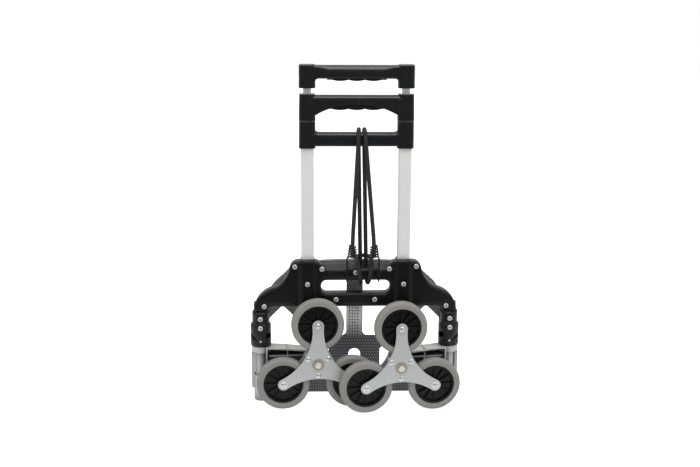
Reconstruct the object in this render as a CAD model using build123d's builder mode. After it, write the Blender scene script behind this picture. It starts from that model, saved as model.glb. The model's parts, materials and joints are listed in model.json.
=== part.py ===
"""Folding stair-climbing hand truck, standing folded on its feet and wheels.

Millimetres, +Z up, +X to the right and +Y away from the wheel side.
The origin is the bottom centre of the folded truck's box.
"""
import os
from math import cos, radians, sin, sqrt

from build123d import *

os.makedirs("parts", exist_ok=True)

# Overall places
TUBE_X = 109.0            # telescopic tubes, from the middle plane
POST_X = 217.0            # swivel posts, from the middle plane
FIT = 0.3                 # running gap between pieces that slide
SIDES = {"left": -1, "right": 1}

# Telescopic tubes: width, depth and the corner radius of each stage, nested with a glide bush between
TUBE_WALL = 1.5
MIDDLE_GLIDE, INNER_GLIDE = 0.95, 1.15    # walls of the glide bushes on the two sliding stages
OUTER_W, OUTER_D, OUTER_R = 29.0, 20.0, 4.0
MIDDLE_STEP = 2 * (TUBE_WALL + FIT + MIDDLE_GLIDE)
MIDDLE_W, MIDDLE_D, MIDDLE_R = OUTER_W - MIDDLE_STEP, OUTER_D - MIDDLE_STEP, 3.5
INNER_STEP = 2 * (TUBE_WALL + FIT + INNER_GLIDE)
INNER_W, INNER_D, INNER_R = MIDDLE_W - INNER_STEP, MIDDLE_D - INNER_STEP, 3.0
OUTER_BOTTOM, MIDDLE_BOTTOM, INNER_BOTTOM = 236.0, 285.0, 295.0
GLIDE_LENGTH = 30.0       # glide bush at the foot of each sliding tube

# Yoke: two moulded halves that clamp the tubes and the posts
YOKE_HALF = 15.0          # depth of one half
YOKE_LOW, YOKE_RAIL_TOP, YOKE_TOP = 227.0, 316.0, 334.0
YOKE_EDGE = 5.0           # rounding of the moulded edges
SLOT_W, SLOT_LOW, SLOT_TOP, SLOT_R = 157.0, 259.0, 289.0, 13.0
SOCKET_W, SOCKET_HALF, SOCKET_LIP, SOCKET_R, LIP_TAPER = 34.5, 20.5, 4.0, 3.0, 12.0
BOSS_X, BOSS_Z, BOSS_R, BOSS_LEAN = TUBE_X + 28.7, 321.5, 12.3, 7.5
YOKE_NECK = 15.8          # half width of the yoke where it meets the collars
YOKE_ARMPIT, YOKE_ARMPIT_R = 18.0, 16.0
YOKE_SHOULDER, SHOULDER_IN = 55.5, 25.0
DIP_START, DIP_END = TUBE_X - 17, TUBE_X - 45
PANEL_MARK_X, PANEL_MARK_TOP, PANEL_MARK_LOW, PANEL_MARK_H = 55.5, 16.5, 24.0, 11.0
MARK_DEEP, DOT_X, DOT_Z, DOT_D = 1.2, 84.5, 268.0, 5.0
SCREW_HEAD_D, SCREW_HEAD_H, SCREW_HEAD_TAPER = 11.4, 2.6, 30
RAIL_SCREW_X, RAIL_SCREW_Z = 76.6, 316.0
SILL_SCREW_X, SILL_SCREW_Z = 44.0, 244.0
SOCKET_SCREW_Z, MID_SCREW_Z = 281.5, 307.5

# Swivel posts, cam collars and feet
POST_D, POST_WALL, POST_BOTTOM, POST_TOP = 20.0, 2.0, 46.0, 240.0
COLLAR_R, COLLAR_NECK_R = 23.5, 19.5
COLLAR_LOW, COLLAR_STEP, COLLAR_TOP = 133.0, 187.0, 214.0
COLLAR_CHAMFER, COLLAR_SLOPE = 1.5, 3.0
CAM_BORE_R, CAM_BORE_TOP = 17.0, 177.0
CAM_RISE = 16.0           # climb of the helical slot over a quarter turn
CAM_TURN, CAM_STEPS = 96.0, 10
CAM_PIN_D, CAM_PIN_Z, CAM_GAP = 5.0, 147.0, 1.1
FOLLOWER_LOW, FOLLOWER_H = 139.0, 13.0
WINDOW_IN, WINDOW_Z, WINDOW_W, WINDOW_H = 17.5, 159.0, 9.0, 13.0
NECK_SCREW_X, NECK_SCREW_Z, NECK_SEAT = POST_X - 9, 228.0, 14.2
COLLAR_SCREW_LOW, COLLAR_SCREW_TOP = 178.5, 199.0
FOOT_R, FOOT_TOP, FOOT_EDGE = 17.0, 62.0, 2.0
RIB_IN, RIB_OUT, RIB_HALF, RIB_LOW, RIB_TOP = 15.0, 22.0, 8.0, 30.0, 114.5

# Swing arms and three-wheel stars
ARM_LENGTH = 126.0        # post axis to star axle
REST_OPEN = {"left": -4.5, "right": 7.0}  # the right star lies on the left one
KNUCKLE_R, KNUCKLE_LOW = 14.0, 62.5
RING_R, RING_LOW, RING_TOP = 22.0, 118.0, COLLAR_LOW - 0.5
ARM_BACK, ARM_DEEP, ARM_WEB, ARM_WALL = 10.0, 36.0, 4.0, 3.5
ARM_LOW, ARM_TOP = 72.0, RING_TOP
ARM_ROOT, ARM_BEND, ARM_SLOPE = 10.0, 45.0, 2.5
ARM_RIBS = [(60.0, 50.0), (98.0, 38.0)]   # upright ribs: place along the arm and height
ARM_RIB_T, ARM_RIB_DROP, ARM_RIB_UP = 3.0, 6.0, 5.0
HUB_BOSS_R, BOSS_PROUD = 16.0, 12.0
AXLE_D, AXLE_HEAD_R, AXLE_HEAD_T, SPACER_R = 12.0, 9.0, 6.0, 10.0
AXLE_NUT_R, AXLE_NUT_T, AXLE_NUT_TOP = 7.5, 3.0, 4.0
SHAFT_GAP = 0.05          # radial running fit on posts, axles and hinge pins
WHEEL_D, WHEEL_W, TYRE_T = 120.0, 22.0, 14.5
STAR_R = 91.0             # star axle to wheel axle
STAR_OUT = 61.0           # middle of the star in front of the post axis
PLATE_T, PLATE_GAP = 2.5, 1.2
LOBE_R, WAIST_R = 13.0, 34.0
RIVET_R, RIVET_D, RIVET_HEAD_D, RIVET_HEAD_H = 26.0, 8.0, 12.0, 2.4
BUSH_D, BUSH_FLANGE_D, BUSH_FLANGE_T = 18.0, 27.0, 1.5
WHEEL_PIN_D, WASHER_D, WASHER_T, PIN_HEAD_H = 10.0, 19.0, 1.0, 2.2
HUB_Z = WHEEL_D / 2 + STAR_R / 2
STAR_HALF = WHEEL_W / 2 + PLATE_GAP + PLATE_T

# Toe plate, folded up in front of the yoke
PANEL_Y, PANEL_T, FLANGE = 31.0, 2.5, 10.0
PANEL_TOP, PANEL_LOW = 326.0, 3.0
PANEL_HALF = POST_X - 7
PANEL_LOW_HALF, PANEL_CORNER, PANEL_STEP, RIM_LOW = POST_X - FOOT_R - 5, 16.0, 24.0, 26.0
PANEL_SIDE_DROP, PANEL_BEND_IN, PANEL_BEND_DROP = 121.0, 38.0, 41.0
PANEL_CORNER_IN, PANEL_CORNER_DROP = 69.0, 7.0
HINGE_Y, HINGE_Z, HINGE_PIN_D = 10.0, 36.0, 9.0
EAR_X, EAR_T, EAR_R, EAR_UP, EAR_TOE = POST_X - 25, 6.0, 9.0, 34.0, 3.0
SPINE_HALF, WINDOW_LOW, WINDOW_TOP = 19.0, 54.0, 291.0
OUTER_WINDOW_IN, OUTER_WINDOW_LEG, OUTER_WINDOW_PEAK = 60.0, 110.0, 217.0
OUTER_WINDOW_END = PANEL_HALF - 12
INNER_WINDOW_LOW, INNER_WINDOW_SIDE = 143.0, 51.0
INNER_WINDOW_RISE = WINDOW_TOP - INNER_WINDOW_LOW - INNER_WINDOW_SIDE
INNER_WINDOW_END = min(PANEL_HALF - 53, OUTER_WINDOW_IN + INNER_WINDOW_RISE)
WINDOW_ROUND, INNER_ROUND = 7.0, 11.0
ARCH_W, ARCH_TOP = 28.0, 111.0

# Handles and crossbar, stacked on the outer tubes from the foot of the crossbar up
CROSS_LOW = 591.0
CROSS_TOP, CROSS_HALF = CROSS_LOW + 59.5, 13.0
RAIL_LOW, RAIL_TOP, RAIL_CURL, RAIL_ROUND = CROSS_LOW + 4, CROSS_LOW + 35.5, 12.0, 10.0
SLEEVE_W, SLEEVE_D, SLEEVE_R, SLEEVE_LAP = 37.0, 29.0, 8.0, 4.0
CROSS_FLARE, LOWER_FLARE, UPPER_FLARE = 1.0, 2.4, 1.0
STACK_GAP = 2.0           # parting gap between the crossbar and the lower handle
LOWER_LOW, GRIP_HALF, GRIP_TOP_ROUND = CROSS_TOP + STACK_GAP, 14.0, 10.0
LOWER_TOP, LOWER_SET = LOWER_LOW + 58, 2.0
ARCH_END, ARCH_SIDE, ARCH_MID, ARCH_SIDE_X = LOWER_LOW + 10, LOWER_LOW + 27, LOWER_LOW + 36, 58.7
LOWER_LEVER_LOW, LOWER_LEVER_TOP = LOWER_LOW + 25.5, LOWER_LOW + 43
UPPER_LOW = LOWER_TOP + 13
UPPER_TOP = UPPER_LOW + 51.5
GRIP_LOW, GRIP_SET, GRIP_IN, GRIP_CURL, GRIP_ROUND = UPPER_TOP - 31, 1.5, TUBE_X - 18, 7.0, 6.0
CAP_ROUND = 3.0
UPPER_LEVER_LOW, UPPER_LEVER_TOP = GRIP_LOW - 2.5, GRIP_LOW + 14
OUTER_TOP = CROSS_LOW + 36
MIDDLE_TOP = LOWER_TOP - 15
INNER_TOP = UPPER_TOP - 12
LEVER_TRAVEL, LEVER_HALF_W, LEVER_HALF_D = 7.0, 65.5, 8.0
LEVER_WAVE, LEVER_PITCH, LEVER_EDGE = 2.6, 36.5, 1.5

# Bungee cord and its wire hooks
CORD_D, CORD_SIDES, CORD_CLEAR = 9.5, 10, 0.6
WIRE_D, WIRE_SIDES = 3.6, 6
COIL_TURNS, COIL_LOW, COIL_HIGH = 5, 344.0, 372.0
COIL_R_LOW, COIL_R_HIGH = 10.6, 7.0
COIL_END, COIL_TAIL, COIL_DROP, HOOK_REACH, HOOK_BEND = 140.0, 4.5, 9.0, 16.0, 4.0
GAP_STEPS = 400           # places along a hook's wire where the coil's gap is measured

# Depth of the folded truck on both sides of the posts, which centres the box
swing = radians(REST_OPEN["right"])
reach = ARM_LENGTH + STAR_R * cos(radians(30)) + RIVET_HEAD_D / 4
pin_out = STAR_OUT + STAR_HALF + WASHER_T + PIN_HEAD_H
wheel_side = reach * sin(swing) + pin_out * cos(swing)
POST_Y = (wheel_side - PANEL_Y - PANEL_T - FLANGE) / 2
frame_plane = Plane(origin=(0, POST_Y, 0), x_dir=(1, 0, 0), z_dir=(0, -1, 0))


def save(builder, node):
    """Label a finished piece and write it."""
    builder.part.label = node
    export_step(builder.part, f"parts/{node}.step")


def level(z, x=0.0):
    """Horizontal plane at height z over the frame's middle plane."""
    return Plane(origin=(x, POST_Y, z), x_dir=(1, 0, 0), z_dir=(0, 0, 1))


def arm_plane(side, along, out, height):
    """Upright plane on a swing arm: along the arm, out to the wheel side, up."""
    hand = SIDES[side]
    turn = hand * radians(REST_OPEN[side])
    x_dir = Vector(cos(turn), sin(turn), 0)
    normal = Vector(sin(turn), -cos(turn), 0)
    origin = Vector(hand * POST_X, POST_Y, height) - hand * along * x_dir + out * normal
    return Plane(origin=origin, x_dir=x_dir, z_dir=normal)


def post_plane(side, z):
    """Horizontal plane on a post, turned with the swing arm."""
    hand = SIDES[side]
    turn = hand * radians(REST_OPEN[side])
    return Plane(origin=(hand * POST_X, POST_Y, z), x_dir=(cos(turn), sin(turn), 0))


def tube(node, x, bottom, top, width, depth, radius):
    """One straight tube of the telescopic frame."""
    with BuildPart() as piece:
        with BuildSketch(level(bottom, x)):
            RectangleRounded(width, depth, radius)
            RectangleRounded(width - 2 * TUBE_WALL, depth - 2 * TUBE_WALL, radius - TUBE_WALL,
                             mode=Mode.SUBTRACT)
        extrude(amount=top - bottom)
    save(piece, node)


def tube_pair(bottom, height, width, depth, radius):
    """Cut the two tube passages out of a handle, crossbar or yoke half."""
    for x in (-TUBE_X, TUBE_X):
        with BuildSketch(level(bottom, x)) as passage:
            RectangleRounded(width, depth, radius)
        extrude(passage.sketch, amount=height, mode=Mode.SUBTRACT)


# Yoke halves: one outline, extruded to the wheel side and to the plate side
for name, way in (("yoke_rear_shell", 1), ("yoke_front_shell", -1)):
    with BuildPart() as yoke:
        with BuildSketch(frame_plane):
            with BuildLine():
                inner_end = (POST_X - YOKE_NECK, COLLAR_TOP)
                outer_end = (POST_X + YOKE_NECK, COLLAR_TOP)
                armpit = (POST_X - YOKE_NECK - YOKE_ARMPIT, YOKE_LOW)
                Line((0, YOKE_LOW), armpit)
                RadiusArc(armpit, inner_end, YOKE_ARMPIT_R)
                Line(inner_end, outer_end)
                shoulder_end = (POST_X - SHOULDER_IN, COLLAR_TOP + YOKE_SHOULDER)
                shoulder = TangentArc(outer_end, shoulder_end, tangent=(0, 1))
                waist = TangentArc(shoulder @ 1, (BOSS_X + BOSS_R, BOSS_Z - 4), tangent=shoulder % 1)
                boss = TangentArc(waist @ 1, (BOSS_X - BOSS_LEAN, YOKE_TOP), tangent=waist % 1)
                Line(boss @ 1, (DIP_START, YOKE_TOP))
                dip_mid = ((DIP_START + DIP_END) / 2, (YOKE_TOP + YOKE_RAIL_TOP) / 2)
                dip = TangentArc((DIP_START, YOKE_TOP), dip_mid, tangent=(-1, 0))
                TangentArc(dip @ 1, (DIP_END, YOKE_RAIL_TOP), tangent=dip % 1)
                Line((DIP_END, YOKE_RAIL_TOP), (0, YOKE_RAIL_TOP))
                Line((0, YOKE_RAIL_TOP), (0, YOKE_LOW))
            make_face()
            mirror(about=Plane.YZ)
            with Locations((0, (SLOT_LOW + SLOT_TOP) / 2)):
                RectangleRounded(SLOT_W, SLOT_TOP - SLOT_LOW, SLOT_R, mode=Mode.SUBTRACT)
        extrude(amount=way * YOKE_HALF)
        face = yoke.faces().sort_by(Axis.Y)[0 if way > 0 else -1]
        fillet(face.edges(), YOKE_EDGE)
        with BuildSketch(frame_plane):
            with Locations(*[(x, (YOKE_LOW + YOKE_TOP) / 2) for x in (-TUBE_X, TUBE_X)]):
                RectangleRounded(SOCKET_W, YOKE_TOP - YOKE_LOW, SOCKET_R)
        extrude(amount=way * SOCKET_HALF)
        for x in (-TUBE_X, TUBE_X):
            with BuildSketch(level(YOKE_TOP - 1, x)):
                with Locations((0, -way * SOCKET_HALF / 2)):
                    Rectangle(SOCKET_W - 2, SOCKET_HALF - 1)
            extrude(amount=SOCKET_LIP + 1, taper=LIP_TAPER)
        for x in (-POST_X, POST_X):
            with BuildSketch(level(COLLAR_TOP, x)):
                Circle(YOKE_NECK)
                with Locations((0, way * YOKE_NECK)):
                    Rectangle(3 * YOKE_NECK, 2 * YOKE_NECK, mode=Mode.SUBTRACT)
            extrude(amount=POST_TOP - COLLAR_TOP - YOKE_EDGE)
            with BuildSketch(level(COLLAR_TOP, x)):
                Circle(POST_D / 2)
            extrude(amount=POST_TOP - COLLAR_TOP, mode=Mode.SUBTRACT)
        tube_pair(OUTER_BOTTOM, YOKE_TOP + SOCKET_LIP, OUTER_W, OUTER_D, OUTER_R)
        if way > 0:
            with BuildSketch(frame_plane.offset(NECK_SEAT)):
                with Locations((-NECK_SCREW_X, NECK_SCREW_Z), (NECK_SCREW_X, NECK_SCREW_Z)):
                    Circle(SCREW_HEAD_D / 2 + 1)
            extrude(amount=COLLAR_NECK_R, mode=Mode.SUBTRACT)
            with BuildSketch(frame_plane.offset(YOKE_HALF - MARK_DEEP)):
                for hand in (-1, 1):
                    with BuildLine():
                        mid, foot = hand * PANEL_MARK_X, YOKE_RAIL_TOP - PANEL_MARK_H
                        Polyline((mid - PANEL_MARK_LOW / 2, foot), (mid + PANEL_MARK_LOW / 2, foot),
                                 (mid + PANEL_MARK_TOP / 2, YOKE_RAIL_TOP),
                                 (mid - PANEL_MARK_TOP / 2, YOKE_RAIL_TOP), close=True)
                    make_face()
                with Locations((-DOT_X, DOT_Z), (DOT_X, DOT_Z)):
                    Circle(DOT_D / 2)
            extrude(amount=MARK_DEEP, mode=Mode.SUBTRACT)
    save(yoke, name)

# Screw heads on the wheel side of the yoke, and on the cam collars
yoke_spots = [(BOSS_X, YOKE_HALF, BOSS_Z), (RAIL_SCREW_X, YOKE_HALF, RAIL_SCREW_Z),
              (SILL_SCREW_X, YOKE_HALF, SILL_SCREW_Z), (TUBE_X, SOCKET_HALF, SOCKET_SCREW_Z),
              (NECK_SCREW_X, NECK_SEAT, NECK_SCREW_Z)]
collar_spots = [(POST_X, COLLAR_NECK_R, COLLAR_SCREW_TOP), (POST_X, COLLAR_R, COLLAR_SCREW_LOW)]


def screw_heads(node, spots, middle=()):
    """Pan heads seated on the wheel side, on both hands of the truck."""
    places = [(hand * x, out, z) for x, out, z in spots for hand in (-1, 1)]
    with BuildPart() as heads:
        for x, out, z in places + list(middle):
            with BuildSketch(frame_plane.offset(out)):
                with Locations((x, z)):
                    Circle(SCREW_HEAD_D / 2)
            extrude(amount=SCREW_HEAD_H, taper=SCREW_HEAD_TAPER)
    save(heads, node)


screw_heads("yoke_screws", yoke_spots, [(0, YOKE_HALF, MID_SCREW_Z)])
screw_heads("collar_screws", collar_spots)

# Telescopic tubes of the three stages
for side, hand in SIDES.items():
    x = hand * TUBE_X
    tube(f"{side}_outer_tube", x, OUTER_BOTTOM, OUTER_TOP, OUTER_W, OUTER_D, OUTER_R)
    tube(f"{side}_middle_tube", x, MIDDLE_BOTTOM, MIDDLE_TOP, MIDDLE_W, MIDDLE_D, MIDDLE_R)
    tube(f"{side}_inner_tube", x, INNER_BOTTOM, INNER_TOP, INNER_W, INNER_D, INNER_R)


def glides(node, bottom, length, outside, inside):
    """Two plastic glide bushes, one for each tube."""
    with BuildPart() as bush:
        for x in (-TUBE_X, TUBE_X):
            with BuildSketch(level(bottom, x)):
                RectangleRounded(*outside)
                RectangleRounded(*inside, mode=Mode.SUBTRACT)
            extrude(amount=length)
    save(bush, node)


outer_bore = (OUTER_W - 2 * TUBE_WALL, OUTER_D - 2 * TUBE_WALL)
middle_bore = (MIDDLE_W - 2 * TUBE_WALL, MIDDLE_D - 2 * TUBE_WALL)
glides("outer_glide_bushes", OUTER_TOP, GLIDE_LENGTH / 2, (OUTER_W, OUTER_D, OUTER_R),
       (MIDDLE_W + 2 * FIT, MIDDLE_D + 2 * FIT, MIDDLE_R + FIT))
glides("middle_glide_bushes", MIDDLE_BOTTOM, GLIDE_LENGTH,
       (outer_bore[0] - 2 * FIT, outer_bore[1] - 2 * FIT, OUTER_R - TUBE_WALL - FIT),
       (MIDDLE_W, MIDDLE_D, MIDDLE_R))
glides("inner_glide_bushes", INNER_BOTTOM, GLIDE_LENGTH,
       (middle_bore[0] - 2 * FIT, middle_bore[1] - 2 * FIT, MIDDLE_R - TUBE_WALL - FIT),
       (INNER_W, INNER_D, INNER_R))


def sleeves(bottom, top, flare):
    """Two moulded sleeves round the tubes, wider at the foot by flare."""
    for x in (-TUBE_X, TUBE_X):
        with BuildSketch(level(bottom, x)) as wide:
            RectangleRounded(SLEEVE_W, SLEEVE_D, SLEEVE_R)
        with BuildSketch(level(top, x)) as narrow:
            RectangleRounded(SLEEVE_W - flare, SLEEVE_D - flare, SLEEVE_R - flare / 2)
        loft([wide.sketch, narrow.sketch], ruled=True)


# Upper crossbar: moulding clamped on top of the outer tubes, with a round-backed rail
with BuildPart() as rail:
    with BuildSketch(frame_plane):
        with BuildLine():
            inner = TUBE_X - SLEEVE_W / 2 + SLEEVE_LAP
            Polyline((inner - RAIL_CURL, RAIL_TOP), (0, RAIL_TOP), (0, RAIL_LOW), (inner, RAIL_LOW),
                     (inner, RAIL_TOP + RAIL_CURL))
            RadiusArc((inner, RAIL_TOP + RAIL_CURL), (inner - RAIL_CURL, RAIL_TOP), RAIL_CURL)
        make_face()
        mirror(about=Plane.YZ)
    extrude(amount=CROSS_HALF, both=True)
    fillet(rail.edges().filter_by(Axis.X).group_by(Axis.Z)[0], CROSS_HALF / 2)
    fillet(rail.edges().filter_by(Axis.X).group_by(Axis.Z)[-1], RAIL_ROUND)
with BuildPart() as crossbar:
    sleeves(CROSS_LOW, CROSS_TOP, CROSS_FLARE)
    add(rail.part)
    tube_pair(CROSS_LOW, OUTER_TOP + GLIDE_LENGTH / 2 - CROSS_LOW, OUTER_W, OUTER_D, OUTER_R)
    tube_pair(CROSS_LOW, CROSS_TOP - CROSS_LOW, MIDDLE_W + 2 * FIT, MIDDLE_D + 2 * FIT,
              MIDDLE_R + FIT)
save(crossbar, "upper_crossbar")


def lever(node, low, top):
    """Squeeze lever with three finger lobes along its lower edge."""
    with BuildPart() as bar:
        with BuildSketch(frame_plane):
            with BuildLine():
                Polyline((-LEVER_HALF_W, low), (-LEVER_HALF_W, top), (LEVER_HALF_W, top),
                         (LEVER_HALF_W, low))
                ends = [LEVER_HALF_W, 1.5 * LEVER_PITCH, 0.5 * LEVER_PITCH, -0.5 * LEVER_PITCH,
                        -1.5 * LEVER_PITCH, -LEVER_HALF_W]
                Line((ends[0], low), (ends[1], low))
                for a, b in zip(ends[1:4], ends[2:5]):
                    ThreePointArc((a, low), ((a + b) / 2, low - LEVER_WAVE), (b, low))
                Line((ends[4], low), (ends[5], low))
            make_face()
        extrude(amount=LEVER_HALF_D, both=True)
        fillet(bar.faces().sort_by(Axis.Y)[0].edges(), LEVER_EDGE)
        fillet(bar.faces().sort_by(Axis.Y)[-1].edges(), LEVER_EDGE)
    save(bar, node)


def lever_pocket(top):
    """Cut the pocket that a lever slides up in, open below."""
    with BuildSketch(frame_plane) as pocket:
        with Locations((0, top)):
            Rectangle(2 * (LEVER_HALF_W + FIT), 100, align=(Align.CENTER, Align.MAX))
    extrude(pocket.sketch, amount=LEVER_HALF_D + FIT, both=True, mode=Mode.SUBTRACT)


# Lower handle: sleeves on the middle tubes and an arched grip between them
with BuildPart() as lower_handle:
    with BuildSketch(frame_plane):
        with BuildLine():
            inner = TUBE_X - SLEEVE_W / 2 + SLEEVE_LAP
            lap = TUBE_X - SLEEVE_R
            top = LOWER_TOP - LOWER_SET
            Polyline((0, ARCH_MID), (0, top), (lap, top), (lap, ARCH_END), (inner, ARCH_END))
            ThreePointArc((inner, ARCH_END), (ARCH_SIDE_X, ARCH_SIDE), (0, ARCH_MID))
        make_face()
        mirror(about=Plane.YZ)
    extrude(amount=GRIP_HALF, both=True)
    top_edges = lower_handle.edges().filter_by(Axis.X).filter_by(lambda e: e.length > TUBE_X)
    fillet(top_edges, GRIP_TOP_ROUND)
    sleeves(LOWER_LOW, LOWER_TOP, LOWER_FLARE)
    lever_pocket(LOWER_LEVER_TOP + LEVER_TRAVEL)
    tube_pair(LOWER_LOW, MIDDLE_TOP - LOWER_LOW, MIDDLE_W, MIDDLE_D, MIDDLE_R)
    tube_pair(LOWER_LOW, LOWER_TOP - LOWER_LOW, INNER_W + 2 * FIT, INNER_D + 2 * FIT,
              INNER_R + FIT)
save(lower_handle, "lower_handle")
lever("lower_release_lever", LOWER_LEVER_LOW, LOWER_LEVER_TOP)

# Top handle: end blocks on the inner tubes and a rounded straight grip between them
with BuildPart() as grip:
    with BuildSketch(frame_plane):
        with BuildLine():
            top, heel = UPPER_TOP - GRIP_SET, UPPER_LOW + GRIP_SET
            RadiusArc((GRIP_IN - GRIP_CURL, GRIP_LOW), (GRIP_IN, GRIP_LOW - GRIP_CURL), GRIP_CURL)
            Polyline((GRIP_IN, GRIP_LOW - GRIP_CURL), (TUBE_X - SLEEVE_W / 2 + SLEEVE_LAP, heel),
                     (TUBE_X, heel), (TUBE_X, top), (0, top), (0, GRIP_LOW), (GRIP_IN - GRIP_CURL, GRIP_LOW))
        make_face()
        mirror(about=Plane.YZ)
    extrude(amount=GRIP_HALF, both=True)
    fillet(grip.edges().filter_by(Axis.X).filter_by(lambda e: e.length > TUBE_X), GRIP_ROUND)
with BuildPart() as top_handle:
    sleeves(UPPER_LOW, UPPER_TOP, UPPER_FLARE)
    fillet(top_handle.edges().group_by(Axis.Z)[-1], CAP_ROUND)
    add(grip.part)
    lever_pocket(UPPER_LEVER_TOP + LEVER_TRAVEL)
    tube_pair(UPPER_LOW, INNER_TOP - UPPER_LOW, INNER_W, INNER_D, INNER_R)
save(top_handle, "top_handle")
lever("upper_release_lever", UPPER_LEVER_LOW, UPPER_LEVER_TOP)

# Swivel posts, fixed cam collars with a helical slot, and cast feet with the plate hinge
for side, hand in SIDES.items():
    x = hand * POST_X
    with BuildPart() as post:
        with BuildSketch(level(POST_BOTTOM, x)):
            Circle(POST_D / 2)
            Circle(POST_D / 2 - POST_WALL, mode=Mode.SUBTRACT)
        extrude(amount=POST_TOP - POST_BOTTOM)
    save(post, f"{side}_post")

    with BuildPart() as collar:
        with BuildSketch(Plane(origin=(x, POST_Y, 0), x_dir=(1, 0, 0), z_dir=(0, -1, 0))):
            with BuildLine():
                Polyline((POST_D / 2, COLLAR_TOP), (POST_D / 2, CAM_BORE_TOP),
                         (CAM_BORE_R, CAM_BORE_TOP), (CAM_BORE_R, COLLAR_LOW),
                         (COLLAR_R - COLLAR_CHAMFER, COLLAR_LOW), (COLLAR_R, COLLAR_LOW + COLLAR_CHAMFER),
                         (COLLAR_R, COLLAR_STEP - COLLAR_SLOPE), (COLLAR_NECK_R, COLLAR_STEP),
                         (COLLAR_NECK_R, COLLAR_TOP), (POST_D / 2, COLLAR_TOP))
            make_face()
        revolve(axis=Axis((x, POST_Y, 0), (0, 0, 1)))
        for k in range(CAM_STEPS + 1):
            share = k / CAM_STEPS
            turn = -90 + hand * CAM_TURN * share
            climb = CAM_PIN_Z + CAM_RISE * CAM_TURN / 90 * share
            spot = Plane(origin=(x, POST_Y, climb), x_dir=(0, 0, 1),
                         z_dir=(cos(radians(turn)), sin(radians(turn)), 0))
            with BuildSketch(spot):
                Circle(CAM_PIN_D / 2 + CAM_GAP)
            extrude(amount=2 * COLLAR_R, mode=Mode.SUBTRACT)
        with BuildSketch(frame_plane):
            with Locations((hand * (POST_X - WINDOW_IN), WINDOW_Z)):
                Rectangle(WINDOW_W, WINDOW_H)
        extrude(amount=COLLAR_R, mode=Mode.SUBTRACT)
    save(collar, f"{side}_cam_collar")

    with BuildPart() as foot:
        with BuildSketch(level(0, x)):
            Circle(FOOT_R)
        extrude(amount=FOOT_TOP)
        fillet(foot.edges().group_by(Axis.Z)[0], FOOT_EDGE)
        with BuildSketch(level(RIB_LOW, x)):
            with Locations((hand * (RIB_IN + RIB_OUT) / 2, 0)):
                Rectangle(RIB_OUT - RIB_IN, 2 * RIB_HALF)
        extrude(amount=RIB_TOP - RIB_LOW)
        with BuildSketch(level(POST_BOTTOM, x)):
            Circle(POST_D / 2)
        extrude(amount=FOOT_TOP - POST_BOTTOM, mode=Mode.SUBTRACT)
        with BuildSketch(Plane(origin=(x, POST_Y + HINGE_Y, HINGE_Z), x_dir=(0, 1, 0),
                               z_dir=(-hand, 0, 0))):
            Circle(HINGE_PIN_D / 2)
        extrude(amount=2 * FOOT_R, mode=Mode.SUBTRACT)
    save(foot, f"{side}_foot")

with BuildPart() as hinge_pins:
    for hand in (-1, 1):
        with BuildSketch(Plane(origin=(hand * POST_X, POST_Y + HINGE_Y, HINGE_Z), x_dir=(0, 1, 0),
                               z_dir=(-hand, 0, 0))):
            Circle(HINGE_PIN_D / 2)
        extrude(amount=POST_X - EAR_X + EAR_T)
save(hinge_pins, "hinge_pins")

# Cam followers: a sleeve on each post with a pin in the collar's helical slot
for side, hand in SIDES.items():
    with BuildPart() as follower:
        with BuildSketch(level(FOLLOWER_LOW, hand * POST_X)):
            Circle(CAM_BORE_R - FIT)
            Circle(POST_D / 2 + FIT, mode=Mode.SUBTRACT)
        extrude(amount=FOLLOWER_H)
        pin_root = (POST_D / 2 + CAM_BORE_R) / 2
        with BuildSketch(frame_plane.offset(pin_root)):
            with Locations((hand * POST_X, CAM_PIN_Z)):
                Circle(CAM_PIN_D / 2)
        extrude(amount=COLLAR_R - pin_root)
    save(follower, f"{side}_cam_follower")

def arm_outline(hand):
    """Outline of a swing arm's channel, from its knuckle to the round hub end."""
    low_hub, high_hub = HUB_Z - HUB_BOSS_R, HUB_Z + HUB_BOSS_R
    root, bend, far = -hand * ARM_ROOT, -hand * ARM_BEND, -hand * ARM_LENGTH
    Polyline((root, ARM_LOW), (root, ARM_TOP), (bend, ARM_TOP - ARM_SLOPE), (far, high_hub))
    ThreePointArc((far, high_hub), (far - hand * HUB_BOSS_R, HUB_Z), (far, low_hub))
    Polyline((far, low_hub), (bend, ARM_LOW), (root, ARM_LOW))


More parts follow.
